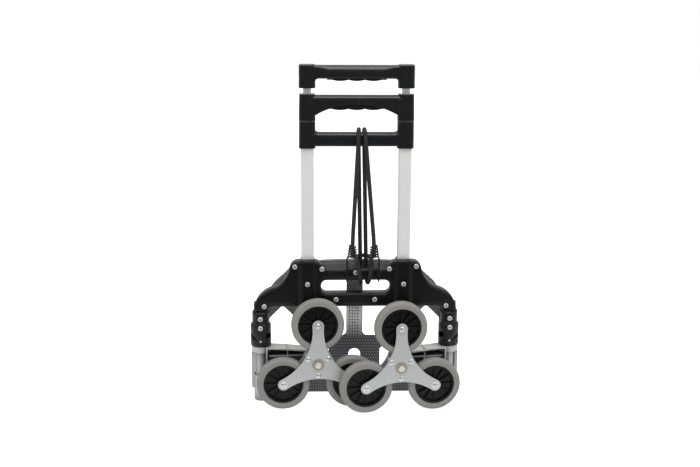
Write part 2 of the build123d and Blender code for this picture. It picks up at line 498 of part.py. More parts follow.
# Swing arms: ribbed castings, open to the wheel side, with a long knuckle on the post
for side, hand in SIDES.items():
    with BuildPart() as arm:
        with BuildSketch(post_plane(side, KNUCKLE_LOW)):
            Circle(KNUCKLE_R)
        extrude(amount=RING_TOP - KNUCKLE_LOW)
        with BuildSketch(post_plane(side, RING_LOW)):
            Circle(RING_R)
        extrude(amount=RING_TOP - RING_LOW)
        with BuildSketch(arm_plane(side, 0, -ARM_BACK, 0)):
            with BuildLine():
                arm_outline(hand)
            make_face()
        extrude(amount=ARM_WEB)
        with BuildSketch(arm_plane(side, 0, -ARM_BACK, 0)):
            with BuildLine():
                arm_outline(hand)
            make_face()
            offset(amount=-ARM_WALL, mode=Mode.SUBTRACT)
        extrude(amount=ARM_DEEP)
        for along, height in ARM_RIBS:
            with BuildSketch(arm_plane(side, along, -ARM_BACK, HUB_Z)):
                Rectangle(ARM_RIB_T, height)
            extrude(amount=ARM_DEEP - ARM_RIB_DROP)
        with BuildSketch(arm_plane(side, (ARM_ROOT + ARM_LENGTH) / 2, -ARM_BACK, HUB_Z + ARM_RIB_UP)):
            Rectangle(ARM_LENGTH - ARM_ROOT - HUB_BOSS_R, ARM_RIB_T)
        extrude(amount=ARM_DEEP - ARM_RIB_DROP)
        with BuildSketch(arm_plane(side, ARM_LENGTH, -ARM_BACK, HUB_Z)):
            Circle(HUB_BOSS_R)
        extrude(amount=ARM_DEEP + BOSS_PROUD)
        with BuildSketch(arm_plane(side, ARM_LENGTH, -ARM_BACK, HUB_Z)):
            Circle(AXLE_D / 2)
        extrude(amount=ARM_DEEP + BOSS_PROUD, mode=Mode.SUBTRACT)
        with BuildSketch(post_plane(side, KNUCKLE_LOW)):
            Circle(POST_D / 2 + SHAFT_GAP)
        extrude(amount=RING_TOP - KNUCKLE_LOW, mode=Mode.SUBTRACT)
    save(arm, f"{side}_wheel_arm")

# Three-wheel stars: two riveted plates on a bush, with a wheel pinned in each lobe
lobe_turns = (90, 210, 330)
rivet_turns = (30, 150, 270)
lack = LOBE_R**2 - WAIST_R**2 - STAR_R**2 + WAIST_R * STAR_R
WAIST_ARC_R = lack / (2 * WAIST_R - STAR_R - 2 * LOBE_R)
waist_x = (WAIST_R + WAIST_ARC_R) * cos(radians(60)) - STAR_R
waist_y = (WAIST_R + WAIST_ARC_R) * sin(radians(60))
waist_gap = sqrt(waist_x**2 + waist_y**2)


def turned(x, y, turn):
    """A point turned about the star's axle."""
    turn = radians(turn)
    return (x * cos(turn) - y * sin(turn), x * sin(turn) + y * cos(turn))


def star_sketch(plane):
    """Star outline: round lobes joined by hollow sides, with its pin and rivet holes."""
    touch = (STAR_R + LOBE_R * waist_x / waist_gap, LOBE_R * waist_y / waist_gap)
    with BuildSketch(plane) as star:
        with BuildLine():
            for turn in lobe_turns:
                ThreePointArc(turned(touch[0], -touch[1], turn), turned(STAR_R + LOBE_R, 0, turn),
                              turned(touch[0], touch[1], turn))
                ThreePointArc(turned(touch[0], touch[1], turn), turned(WAIST_R, 0, turn + 60),
                              turned(touch[0], -touch[1], turn + 120))
        make_face()
        Circle(BUSH_D / 2, mode=Mode.SUBTRACT)
        with Locations(*[turned(STAR_R, 0, turn) for turn in lobe_turns]):
            Circle(WHEEL_PIN_D / 2, mode=Mode.SUBTRACT)
        with Locations(*[turned(RIVET_R, 0, turn) for turn in rivet_turns]):
            Circle(RIVET_D / 2, mode=Mode.SUBTRACT)
    return star.sketch


def spun(builder_plane, outline):
    """Revolve an outline of (radius, out) points about the plane's own normal."""
    spin = Plane(origin=builder_plane.origin, x_dir=builder_plane.x_dir, z_dir=-builder_plane.y_dir)
    with BuildSketch(spin) as half:
        with BuildLine():
            Polyline(*outline, close=True)
        make_face()
    revolve(half.sketch, axis=Axis(builder_plane.origin, builder_plane.z_dir))


def headed_pin(shank, shoulder, head, tail):
    """Outline of a pin through both plates: shank radius, shoulder radius, head and tail steps."""
    inside = STAR_HALF - PLATE_T
    half = [(shank, STAR_HALF)]
    if shoulder > shank:
        half = [(shoulder, inside), (shank, inside)] + half
    return [(r, -out) for r, out in reversed(half + tail)] + half + head


rivet_head = [(RIVET_HEAD_D / 2, STAR_HALF), (RIVET_HEAD_D / 2, STAR_HALF + 1),
              (RIVET_HEAD_D / 4, STAR_HALF + RIVET_HEAD_H), (0, STAR_HALF + RIVET_HEAD_H)]
washer = STAR_HALF + WASHER_T
pin_head = [(WASHER_D / 2, STAR_HALF), (WASHER_D / 2, washer), (RIVET_HEAD_D / 2, washer),
            (RIVET_HEAD_D / 2 - 1, washer + PIN_HEAD_H / 2), (RIVET_HEAD_D / 4, washer + PIN_HEAD_H),
            (0, washer + PIN_HEAD_H)]
pin_tail = [(WASHER_D / 2, STAR_HALF), (WASHER_D / 2, washer), (0, washer)]

for side, hand in SIDES.items():
    axle_plane = arm_plane(side, ARM_LENGTH, STAR_OUT, HUB_Z)
    for node, out in (("front", STAR_HALF - PLATE_T), ("rear", -STAR_HALF)):
        with BuildPart() as plate:
            extrude(star_sketch(axle_plane.offset(out)), amount=PLATE_T)
        save(plate, f"{side}_star_{node}_plate")
    with BuildPart() as bush:
        flange = STAR_HALF + BUSH_FLANGE_T
        bore = AXLE_D / 2 + SHAFT_GAP
        spun(axle_plane, [(bore, -flange), (BUSH_FLANGE_D / 2, -flange), (BUSH_FLANGE_D / 2, -STAR_HALF),
                          (BUSH_D / 2, -STAR_HALF), (BUSH_D / 2, STAR_HALF),
                          (BUSH_FLANGE_D / 2, STAR_HALF), (BUSH_FLANGE_D / 2, flange), (bore, flange)])
    save(bush, f"{side}_star_bush")
    with BuildPart() as rivets:
        for turn in rivet_turns:
            x, y = turned(RIVET_R, 0, turn)
            spot = Plane(origin=axle_plane.from_local_coords((x, y, 0)), x_dir=axle_plane.x_dir,
                         z_dir=axle_plane.z_dir)
            spun(spot, headed_pin(RIVET_D / 2, RIVET_HEAD_D / 2, rivet_head, rivet_head))
    save(rivets, f"{side}_star_rivets")
    with BuildPart() as axle:
        back = -STAR_OUT - ARM_BACK
        head = back - AXLE_HEAD_T
        boss = ARM_DEEP - ARM_BACK + BOSS_PROUD - STAR_OUT
        spun(axle_plane, [(0, head), (AXLE_HEAD_R, head), (AXLE_HEAD_R, back), (AXLE_D / 2, back),
                          (AXLE_D / 2, boss), (SPACER_R, boss), (SPACER_R, -flange - FIT),
                          (AXLE_D / 2, -flange - FIT), (AXLE_D / 2, flange + FIT),
                          (AXLE_NUT_R, flange + FIT), (AXLE_NUT_R, flange + AXLE_NUT_T),
                          (AXLE_D / 2, flange + AXLE_NUT_TOP), (0, flange + AXLE_NUT_TOP)])
    save(axle, f"{side}_star_axle")
    with BuildPart() as pins:
        for turn in lobe_turns:
            x, y = turned(STAR_R, 0, turn)
            spot = Plane(origin=axle_plane.from_local_coords((x, y, 0)), x_dir=axle_plane.x_dir,
                         z_dir=axle_plane.z_dir)
            spun(spot, headed_pin(WHEEL_PIN_D / 2, WHEEL_PIN_D / 2, pin_head, pin_tail))
    save(pins, f"{side}_wheel_pins")

# Wheels: ribbed moulded rim with a solid tyre round it
RIM_R = WHEEL_D / 2 - TYRE_T
RIM_LIP, RIM_HUB_R, RIM_WEB, RIB_T, RIB_DROP = 4.5, 12.0, 2.5, 2.4, 2.0
HUB_HALF = WHEEL_W / 2 + PLATE_GAP - FIT
RIM_HALF = WHEEL_W / 2 - 1.5
SHOULDER_R = 5.0
WHEEL_RIBS = 12
for side, hand in SIDES.items():
    for place, turn in zip(("top", "low_left", "low_right"), lobe_turns):
        hub = arm_plane(side, ARM_LENGTH, STAR_OUT, HUB_Z)
        x, y = turned(STAR_R, 0, turn)
        mid = Plane(origin=hub.from_local_coords((x, y, 0)), x_dir=hub.x_dir, z_dir=hub.z_dir)
        with BuildPart() as rim:
            bore = WHEEL_PIN_D / 2 + SHAFT_GAP
            half = [(bore, HUB_HALF), (RIM_HUB_R, HUB_HALF), (RIM_HUB_R, RIM_WEB),
                    (RIM_R - RIM_LIP, RIM_WEB), (RIM_R - RIM_LIP, RIM_HALF), (RIM_R, RIM_HALF)]
            spun(mid, half + [(r, -out) for r, out in reversed(half)])
            with BuildSketch(mid.offset(-RIM_HALF + RIB_DROP)):
                with PolarLocations(0, WHEEL_RIBS):
                    with Locations(((RIM_HUB_R + RIM_R - RIM_LIP) / 2, 0)):
                        Rectangle(RIM_R - RIM_LIP - RIM_HUB_R + 2, RIB_T)
            extrude(amount=2 * (RIM_HALF - RIB_DROP))
        save(rim, f"{side}_{place}_rim")
        with BuildPart() as tyre:
            tread, wall = WHEEL_D / 2, WHEEL_W / 2
            shoulder = SHOULDER_R * (1 - cos(radians(45)))
            half = [(RIM_R, wall), (tread - SHOULDER_R, wall), (tread - shoulder, wall - shoulder),
                    (tread, wall - SHOULDER_R)]
            spun(mid, half + [(r, -out) for r, out in reversed(half)])
        save(tyre, f"{side}_{place}_tyre")

# Toe plate: pressed sheet with windows, a turned rim and two hinge ears
panel_plane = frame_plane.offset(-PANEL_Y - PANEL_T)
with BuildPart() as toe_plate:
    with BuildSketch(panel_plane) as outline:
        with BuildLine():
            lip_end = (PANEL_LOW_HALF - PANEL_CORNER, PANEL_LOW)
            lip_side = (PANEL_LOW_HALF, PANEL_LOW + PANEL_CORNER)
            shoulder = (PANEL_HALF, PANEL_TOP - PANEL_SIDE_DROP)
            Line((0, PANEL_LOW), lip_end)
            RadiusArc(lip_end, lip_side, -PANEL_CORNER)
            Polyline(lip_side, (PANEL_LOW_HALF, WINDOW_LOW),
                     (PANEL_HALF, WINDOW_LOW + PANEL_STEP), shoulder)
            bend_end = (PANEL_HALF - PANEL_BEND_IN, PANEL_TOP - PANEL_BEND_DROP)
            side_arc = TangentArc(shoulder, bend_end, tangent=(0, 1))
            corner_end = (PANEL_HALF - PANEL_CORNER_IN, PANEL_TOP - PANEL_CORNER_DROP)
            corner = TangentArc(side_arc @ 1, corner_end, tangent=side_arc % 1)
            ThreePointArc(corner @ 1, (PANEL_HALF / 3, PANEL_TOP - 2), (0, PANEL_TOP))
            Line((0, PANEL_TOP), (0, PANEL_LOW))
        make_face()
        mirror(about=Plane.YZ)
    extrude(amount=PANEL_T)
    with BuildSketch(panel_plane):
        add(outline.sketch_local)
        offset(amount=-PANEL_T, mode=Mode.SUBTRACT)
        Rectangle(3 * PANEL_HALF, 2 * (WINDOW_LOW + RIM_LOW), mode=Mode.SUBTRACT)
    extrude(amount=-FLANGE)
    with BuildSketch(panel_plane):
        for hand in (-1, 1):
            with BuildLine():
                climb = OUTER_WINDOW_PEAK - OUTER_WINDOW_LEG
                apex = OUTER_WINDOW_IN + climb
                FilletPolyline((hand * apex, OUTER_WINDOW_PEAK),
                               (hand * OUTER_WINDOW_END, OUTER_WINDOW_PEAK - OUTER_WINDOW_END + apex),
                               (hand * OUTER_WINDOW_END, WINDOW_LOW), (hand * OUTER_WINDOW_IN, WINDOW_LOW),
                               (hand * OUTER_WINDOW_IN, OUTER_WINDOW_LEG), radius=WINDOW_ROUND, close=True)
            make_face()
            with BuildLine():
                end, turn = hand * INNER_WINDOW_END, INNER_WINDOW_LOW + INNER_WINDOW_END - OUTER_WINDOW_IN
                FilletPolyline((hand * SPINE_HALF, WINDOW_TOP), (hand * SPINE_HALF, INNER_WINDOW_LOW),
                               (hand * OUTER_WINDOW_IN, INNER_WINDOW_LOW), (end, turn), (end, WINDOW_TOP),
                               radius=INNER_ROUND, close=True)
            make_face()
        with Locations((0, (WINDOW_LOW + ARCH_TOP) / 2)):
            RectangleRounded(ARCH_W, ARCH_TOP - WINDOW_LOW, ARCH_W / 2 - 0.1)
    extrude(amount=PANEL_T, mode=Mode.SUBTRACT)
    for hand in (-1, 1):
        ear_plane = Plane(origin=(hand * EAR_X - EAR_T / 2, POST_Y, 0), x_dir=(0, 1, 0), z_dir=(1, 0, 0))
        with BuildSketch(ear_plane):
            with BuildLine():
                Polyline((HINGE_Y, HINGE_Z - EAR_R), (PANEL_Y, HINGE_Z - EAR_R - EAR_TOE),
                         (PANEL_Y, HINGE_Z + EAR_UP), (HINGE_Y, HINGE_Z + EAR_R), close=True)
            make_face()
            with Locations((HINGE_Y, HINGE_Z)):
                Circle(EAR_R)
                Circle(HINGE_PIN_D / 2 + SHAFT_GAP, mode=Mode.SUBTRACT)
        extrude(amount=EAR_T)
save(toe_plate, "toe_plate")

# Bungee cord: tied to the yoke rail at its middle, over the crossbar, down to two hooks
CORD_OFF = CORD_D / 2 + CORD_CLEAR
CORD_LOW, CORD_OUT = SLOT_TOP - CORD_OFF, YOKE_HALF + CORD_OFF
CORD_OVER, CORD_BAR = RAIL_TOP + CORD_OFF, CROSS_HALF + CORD_OFF
CORD_END, CORD_END_Z = CORD_OUT + 1.5, COIL_LOW + 5
KNOT_FRONT, KNOT_BACK, KNOT_OUT = YOKE_RAIL_TOP + 12, YOKE_RAIL_TOP + 19, CORD_OUT + CORD_D + 1
BEND_RAIL, BEND_BAR, BEND_KNOT, BEND_END = 10.0, 15.0, 8.0, 230.0
cord_points = [
    (-8, -CORD_END, CORD_END_Z), (-8, -CORD_END, CORD_END_Z + 26), (5, -CORD_BAR, CORD_OVER),
    (5.3, CORD_BAR, CORD_OVER), (13, CORD_OUT, CORD_LOW), (11.5, -CORD_OUT, CORD_LOW),
    (5, -CORD_OUT, KNOT_FRONT), (2.5, KNOT_OUT, KNOT_BACK), (35.5, KNOT_OUT, KNOT_BACK),
    (37, -CORD_OUT, KNOT_FRONT), (28.5, -CORD_OUT, CORD_LOW), (26, CORD_OUT, CORD_LOW),
    (17.8, CORD_BAR, CORD_OVER), (18, -CORD_BAR, CORD_OVER), (41, -CORD_END, CORD_END_Z + 26),
    (41, -CORD_END, CORD_END_Z),
]
half_radii = [BEND_END, BEND_BAR, BEND_BAR, BEND_RAIL, BEND_RAIL, BEND_KNOT, BEND_KNOT]
cord_radii = half_radii + half_radii[::-1]
with BuildPart() as bungee_cord:
    with BuildLine() as route:
        FilletPolyline(*[(x, y + POST_Y, z) for x, y, z in cord_points], radius=cord_radii)
    cord_line = route.wire()
    with BuildSketch(Plane(origin=cord_line @ 0, x_dir=(0, 1, 0), z_dir=cord_line % 0)) as section:
        RegularPolygon(CORD_D / 2, CORD_SIDES)
    sweep()
print("bungee cord length", round(cord_line.length, 1), "bend radii", cord_radii,
      "volume share", round(bungee_cord.part.volume / (cord_line.length * section.sketch.area), 4))
save(bungee_cord, "bungee_cord")


def hook_path(hand):
    """Conical coil round the cord's end as quarter-turn biarcs, then the wire down to the hook."""
    quarters = 4 * COIL_TURNS

    def coil_point(k):
        share = k / quarters
        turn = radians(COIL_END - 90 * (quarters - k))
        radius = COIL_R_HIGH + (COIL_R_LOW - COIL_R_HIGH) * share
        grow = (COIL_R_LOW - COIL_R_HIGH) / quarters / radians(90)
        fall = (COIL_HIGH - COIL_LOW) / quarters / radians(90)
        place = Vector(-hand * radius * cos(turn), radius * sin(turn), (COIL_HIGH - COIL_LOW) * (1 - share))
        heading = Vector(hand * radius * sin(turn) - hand * grow * cos(turn),
                         radius * cos(turn) + grow * sin(turn), -fall)
        return place, heading.normalized()

    for k in range(quarters):
        start, out = coil_point(k)
        end, arrive = coil_point(k + 1)
        chord, both = end - start, out + arrive
        bend = 2 * (1 - out.dot(arrive))
        reach = (sqrt(chord.dot(both) ** 2 + bend * chord.dot(chord)) - chord.dot(both)) / bend
        first, last = start + out * reach, end - arrive * reach
        TangentArc(start, (first + last) / 2, tangent=out)
        TangentArc((first + last) / 2, end, tangent=last - first)
    place, heading = coil_point(quarters)
    tail = place + heading * COIL_TAIL
    drop = tail + Vector(0, 0, -COIL_DROP)
    FilletPolyline(place, tail, drop, radius=HOOK_BEND)
    under = Vector(drop.X, drop.Y, SLOT_TOP - WIRE_D / 2 - FIT - COIL_LOW)
    FilletPolyline(drop, under, under + Vector(0, HOOK_REACH, 0), radius=HOOK_BEND)


for side, axis_x in (("left", cord_points[0][0]), ("right", cord_points[-1][0])):
    hand = SIDES[side]
    with BuildPart() as hook:
        with BuildLine() as wire:
            hook_path(hand)
        wire_line = wire.wire()
        with BuildSketch(Plane(origin=wire_line @ 0, z_dir=wire_line % 0)) as section:
            RegularPolygon(WIRE_D / 2, WIRE_SIDES)
        sweep()
    half_turn = 3 * COIL_R_HIGH
    spots = [wire_line @ (k / GAP_STEPS) for k in range(GAP_STEPS + 1)]
    apart = int(half_turn / wire_line.length * GAP_STEPS)
    least = min((a - b).length for k, a in enumerate(spots) for b in spots[k + apart:])
    print(side, "hook wire", round(wire_line.length, 1), "least gap in the coil", round(least - WIRE_D, 2),
          "volume share", round(hook.part.volume / (wire_line.length * section.sketch.area), 4))
    with BuildPart() as seated_hook:
        with Locations((axis_x, POST_Y - CORD_END, COIL_LOW)):
            add(hook.part)
    save(seated_hook, f"{side}_bungee_hook")
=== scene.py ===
"""Folding stair-climbing hand truck, folded and standing on a pale studio floor."""

import json
from math import cos, pi, radians, sin

import bmesh
import bpy
from mathutils import Matrix, Vector


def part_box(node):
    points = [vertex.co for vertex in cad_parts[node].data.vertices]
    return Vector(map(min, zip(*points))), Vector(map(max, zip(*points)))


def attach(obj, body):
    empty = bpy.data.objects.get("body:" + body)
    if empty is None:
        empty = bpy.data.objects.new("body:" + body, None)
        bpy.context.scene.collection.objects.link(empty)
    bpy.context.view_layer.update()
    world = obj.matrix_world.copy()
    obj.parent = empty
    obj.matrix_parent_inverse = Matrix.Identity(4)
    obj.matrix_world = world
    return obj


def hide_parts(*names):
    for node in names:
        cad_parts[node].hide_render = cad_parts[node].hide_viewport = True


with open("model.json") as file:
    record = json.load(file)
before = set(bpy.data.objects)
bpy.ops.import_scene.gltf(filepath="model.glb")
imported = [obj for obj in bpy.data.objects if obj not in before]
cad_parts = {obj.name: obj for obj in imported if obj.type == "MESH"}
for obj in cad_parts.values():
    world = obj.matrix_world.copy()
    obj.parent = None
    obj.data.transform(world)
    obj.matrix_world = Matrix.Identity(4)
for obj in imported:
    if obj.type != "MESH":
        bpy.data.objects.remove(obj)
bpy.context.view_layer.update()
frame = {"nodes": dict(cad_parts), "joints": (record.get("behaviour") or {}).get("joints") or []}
scene = bpy.context.scene
scene.view_settings.view_transform = "Standard"

# Studio: a sweep of pale paper under soft light panels, with the camera at standing height,
# looking slightly down on the wheel side of the truck. Shiny pieces mirror the white paper behind
# the truck, and the dim room where the paper ends in front of it.
POST_Y = sum(corner.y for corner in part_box("left_post")) / 2
CAMERA_PLACE = Vector((-0.1107, POST_Y - 2.3659, 0.9494))
CAMERA_YAW, CAMERA_PITCH, CAMERA_ROLL = radians(2.37), radians(13.17), radians(0.35)
FOCAL_PIXELS, FRAME_PIXELS, SENSOR = 1074.0, 700.0, 36.0
FLOOR_HALF = 9.0
FLOOR_GLOW, ROOM_LIGHT = 0.8, 0.55
MIRROR_DIM, MIRROR_BRIGHT = 0.05, 0.9
SWEEP_END, SWEEP_START = -0.75, -0.35        # metres from the truck, where the paper fades out
BACKDROP_START, BACKDROP_FULL = -0.1, 0.6    # how far a mirrored ray points to the back
PANEL_TARGET = Vector((0, 0, 0.4))
PANELS = {                                   # place and width in metres, power in watts
    "key panel": ((-1.6, -2.4, 2.4), 1.3, 9),
    "fill panel": ((1.6, -2.3, 1.6), 1.3, 8),
    "top panel": ((0.1, -0.6, 2.4), 1.5, 30),
    "left panel": ((-2.0, -0.5, 2.0), 1.0, 12),
    "right panel": ((2.0, -0.5, 2.0), 1.0, 12),
}


def linear(code):
    """Linear colour for a shader socket from an sRGB hex value."""
    shares = [int(code[k:k + 2], 16) / 255 for k in (1, 3, 5)]
    return [s / 12.92 if s <= 0.04045 else ((s + 0.055) / 1.055) ** 2.4 for s in shares] + [1.0]


def add(tree, kind, inputs=None, **settings):
    """Add one node with its settings, each input being a value or the socket that feeds it."""
    node = tree.nodes.new(kind)
    for key, value in settings.items():
        setattr(node, key, value)
    for key, value in (inputs or {}).items():
        if isinstance(value, bpy.types.NodeSocket):
            tree.links.new(value, node.inputs[key])
        else:
            node.inputs[key].default_value = value
    return node


def blank_material(name):
    """A material with an empty tree, and that tree."""
    made = bpy.data.materials.new(name)
    made.use_nodes = True
    made.node_tree.nodes.clear()
    return made, made.node_tree


def put(name, data):
    """An object in the scene for a mesh, curve, light or camera."""
    made = bpy.data.objects.new(name, data)
    scene.collection.objects.link(made)
    return made


WHITE = linear("#ffffff")

# Uncoated paper: matte and nearly white, with a soft shadow under the truck.
floor_paper, tree = blank_material("pale paper floor")
rays = add(tree, "ShaderNodeLightPath")
glow = add(tree, "ShaderNodeMath", {0: rays.outputs["Is Camera Ray"], 1: FLOOR_GLOW},
           operation="MULTIPLY")
paper = add(tree, "ShaderNodeBsdfPrincipled",
            {"Base Color": linear("#f4f4f3"), "Roughness": 0.9,
             "Emission Color": WHITE, "Emission Strength": glow.outputs[0]})
spot = add(tree, "ShaderNodeTexCoord")
ahead = add(tree, "ShaderNodeSeparateXYZ", {0: spot.outputs["Object"]})
swept = add(tree, "ShaderNodeMapRange",
            {"Value": ahead.outputs["Y"], "From Min": SWEEP_END, "From Max": SWEEP_START,
             "To Min": MIRROR_DIM, "To Max": MIRROR_BRIGHT})
mirrored = add(tree, "ShaderNodeEmission", {"Color": WHITE, "Strength": swept.outputs[0]})
both = add(tree, "ShaderNodeMixShader",
           {0: rays.outputs["Is Glossy Ray"], 1: paper.outputs[0], 2: mirrored.outputs[0]})
add(tree, "ShaderNodeOutputMaterial", {"Surface": both.outputs[0]})

floor_mesh = bpy.data.meshes.new("floor")
floor_corners = [(x * FLOOR_HALF, y * FLOOR_HALF, 0)
                 for x, y in ((-1, -1), (1, -1), (1, 1), (-1, 1))]
floor_mesh.from_pydata(floor_corners, [], [(0, 1, 2, 3)])
floor_mesh.materials.append(floor_paper)
floor = put("floor", floor_mesh)

world = bpy.data.worlds.new("studio")
world.use_nodes = True
tree = world.node_tree
tree.nodes.clear()
rays = add(tree, "ShaderNodeLightPath")
spot = add(tree, "ShaderNodeTexCoord")
ahead = add(tree, "ShaderNodeSeparateXYZ", {0: spot.outputs["Generated"]})
backdrop = add(tree, "ShaderNodeMapRange",
               {"Value": ahead.outputs["Y"], "From Min": BACKDROP_START,
                "From Max": BACKDROP_FULL, "To Min": MIRROR_DIM, "To Max": MIRROR_BRIGHT})
soft = add(tree, "ShaderNodeMix", {"Factor": rays.outputs["Is Glossy Ray"],
                                   "A": ROOM_LIGHT, "B": backdrop.outputs[0]})
strength = add(tree, "ShaderNodeMix", {"Factor": rays.outputs["Is Camera Ray"],
                                       "A": soft.outputs[0], "B": 1.0})
sky = add(tree, "ShaderNodeBackground", {"Color": WHITE, "Strength": strength.outputs[0]})
add(tree, "ShaderNodeOutputWorld", {"Surface": sky.outputs[0]})
scene.world = world

for name, (place, width, watts) in PANELS.items():
    lamp = bpy.data.lights.new(name, "AREA")
    lamp.size = width
    lamp.energy = watts
    turn = (PANEL_TARGET - Vector(place)).to_track_quat("-Z", "Y")
    put(name, lamp).matrix_world = Matrix.Translation(place) @ turn.to_matrix().to_4x4()

lens = bpy.data.cameras.new("camera")
lens.sensor_width = SENSOR
lens.lens = FOCAL_PIXELS / FRAME_PIXELS * SENSOR
camera = put("camera", lens)
camera.matrix_world = (Matrix.Translation(CAMERA_PLACE)
                       @ Matrix.Rotation(-CAMERA_YAW, 4, "Z")
                       @ Matrix.Rotation(pi / 2 - CAMERA_PITCH, 4, "X")
                       @ Matrix.Rotation(CAMERA_ROLL, 4, "Z"))
scene.camera = camera

# Telescopic tubes: drawn aluminium, one sliding in the next, with moulded nylon glide bushes
# pressed into the tops of the outer tubes and on the feet of the others.
MM = 0.001
SIDES, STAGES = ("left", "right"), ("outer", "middle", "inner")
GRAIN = 1.1 * MM                 # moulded grit is near 0.3 mm and the grain of metal finer. Both
                                 # are drawn coarser, at 1 to 2.2 mm, so that they show
PATCH, UNEVEN = 18 * MM, 0.05    # handling leaves patches of uneven gloss


def grained(name, colour, roughness, metal, grain, depth, edge, shine=0.5, painted_hollow_shade=None):
    """A finish with grit of a size and depth, eased edges, and painted shade darkening its
    hollows.
    """
    made, tree = blank_material(name)
    where = add(tree, "ShaderNodeTexCoord")
    grit = add(tree, "ShaderNodeTexNoise",
               {"Vector": where.outputs["Object"], "Scale": 1 / grain, "Detail": 2.0})
    handled = add(tree, "ShaderNodeTexNoise",
                  {"Vector": where.outputs["Object"], "Scale": 1 / PATCH, "Detail": 2.0})
    gloss = add(tree, "ShaderNodeMapRange",
                {"Value": handled.outputs["Fac"], "From Min": 0.3, "From Max": 0.7,
                 "To Min": roughness - UNEVEN, "To Max": roughness + UNEVEN})
    eased = add(tree, "ShaderNodeBevel", {"Radius": edge}, samples=6)
    uneven = add(tree, "ShaderNodeBump",
                 {"Height": grit.outputs["Fac"], "Normal": eased.outputs[0],
                  "Strength": 0.4, "Distance": depth})
    shell = add(tree, "ShaderNodeBsdfPrincipled",
                {"Base Color": linear(colour), "Metallic": metal, "Specular IOR Level": shine,
                 "Roughness": gloss.outputs[0], "Normal": uneven.outputs[0]})
    # Painted shade: the base colour darkens to the given shade where ambient occlusion finds the
    # surface closed in.
    if painted_hollow_shade:
        dark, reach = painted_hollow_shade
        open_share = add(tree, "ShaderNodeAmbientOcclusion", {"Distance": reach}, samples=8)
        shaded_hollows = add(tree, "ShaderNodeMix",
                   {"Factor": open_share.outputs["AO"], "A": linear(dark), "B": linear(colour)},
                   data_type="RGBA")
        tree.links.new(shaded_hollows.outputs["Result"], shell.inputs["Base Color"])
    add(tree, "ShaderNodeOutputMaterial", {"Surface": shell.outputs[0]})
    return made


def dress(material, *names):
    """Give CAD nodes a material."""
    for name in names:
        mesh = frame["nodes"][name].data
        mesh.materials.clear()
        mesh.materials.append(material)


# Matte anodising: an even silvery white with a broad, soft shine.
anodised = grained("matte anodised aluminium", "#dddddb", roughness=0.45, metal=0.2,
                   grain=1.5 * MM, depth=0.03 * MM, edge=1 * MM)
dress(anodised, *[f"{side}_{stage}_tube" for side in SIDES for stage in STAGES])

# Nylon: dull black, with hardly any shine.
nylon = grained("black nylon", "#1a1b1d", roughness=0.5, metal=0.0,
                grain=GRAIN, depth=0.05 * MM, edge=0.5 * MM, shine=0.2)
dress(nylon, *[f"{stage}_glide_bushes" for stage in STAGES])

# Yoke, crossbar, handles, levers and cam collars: black polypropylene mouldings with a fine
# spark-eroded grain, the yoke in two halves screwed together round the tubes and posts.

# Moulded polypropylene: near black with a soft grainy shine, and broad lights on round edges.
black_moulding = grained("moulded black polypropylene", "#0a0b0c", roughness=0.34, metal=0.0,
                         grain=GRAIN, depth=0.05 * MM, edge=14 * MM, shine=0.45)
dress(black_moulding, "yoke_rear_shell", "yoke_front_shell",
      *[f"{side}_cam_collar" for side in SIDES])

# Handle moulding: a little greyer and smoother from the mould, with narrow lights on its edges.
grip_moulding = grained("moulded black handle", "#15181b", roughness=0.32, metal=0.0,
                        grain=GRAIN, depth=0.04 * MM, edge=2.5 * MM, shine=0.55)
dress(grip_moulding, "upper_crossbar", "lower_handle", "lower_release_lever",
      "upper_release_lever")

# Top handle: the same moulding, with a grip that is round on top for the palm and flows into the
# square sockets of the inner tubes. Its lever's pocket below is left as it is.
WELD = 0.01 * MM
GRIP_VOXEL, GRIP_EASE = 1.2 * MM, 4
GRIP_HALF_D, GRIP_TOP, GRIP_LOW = 14 * MM, 773.5 * MM, 744 * MM
GRIP_END, GRIP_FLOW, GRIP_ROUND = 92 * MM, 34 * MM, 0.95
LEVER_TRAVEL, LEVER_ROOM = 7 * MM, 0.8 * MM
POCKET_SHARE, SKIN_SHARE = 0.66, 0.12    # of the grip's half depth: the lever's pocket, the skin


def welded(name):
    """A copy of a CAD node's loose triangles with their corners merged."""
    copy = bmesh.new()
    copy.from_mesh(frame["nodes"][name].data)
    bmesh.ops.remove_doubles(copy, verts=copy.verts, dist=WELD)
    return copy


def mesh_of(made, name):
    """A mesh from one that was under construction, which is freed."""
    mesh = bpy.data.meshes.new(name)
    made.to_mesh(mesh)
    made.free()
    return mesh


def plain_mesh(source, name):
    """The evaluated object as a plain mesh object, with the source removed."""
    shown = source.evaluated_get(bpy.context.evaluated_depsgraph_get())
    mesh = bpy.data.meshes.new_from_object(shown)
    mesh.name = name
    bpy.data.objects.remove(source)
    return put(name, mesh)


blank = put("top handle blank", mesh_of(welded("top_handle"), "top handle blank"))
remesh = blank.modifiers.new("even faces", "REMESH")
remesh.mode = "VOXEL"
remesh.voxel_size = GRIP_VOXEL
eased = blank.modifiers.new("eased edges", "SMOOTH")
eased.iterations = GRIP_EASE
top_grip = plain_mesh(blank, "rounded_top_handle")
middle = (GRIP_TOP + GRIP_LOW) / 2
for vertex in top_grip.data.vertices:
    share = min(max((GRIP_END - abs(vertex.co.x)) / GRIP_FLOW, 0), 1)
    bend = GRIP_ROUND * share * share * (3 - 2 * share) / 2
    depth = (vertex.co.y - POST_Y) / GRIP_HALF_D
    rise = (vertex.co.z - middle) / (GRIP_TOP - middle)
    bend *= min(max((max(abs(depth), rise) - POCKET_SHARE) / SKIN_SHARE, 0), 1)
    if rise > 0 and bend > 0:
        vertex.co.y = POST_Y + GRIP_HALF_D * depth * max(1 - bend * rise * rise, 0) ** 0.5
        vertex.co.z = (middle + (GRIP_TOP - middle) * rise
                       * max(1 - bend * depth * depth, 0) ** 0.5)
lever_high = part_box("upper_release_lever")[1]
room = [lever_high.x + LEVER_ROOM, lever_high.y - POST_Y + LEVER_ROOM,
        lever_high.z + LEVER_TRAVEL + LEVER_ROOM]
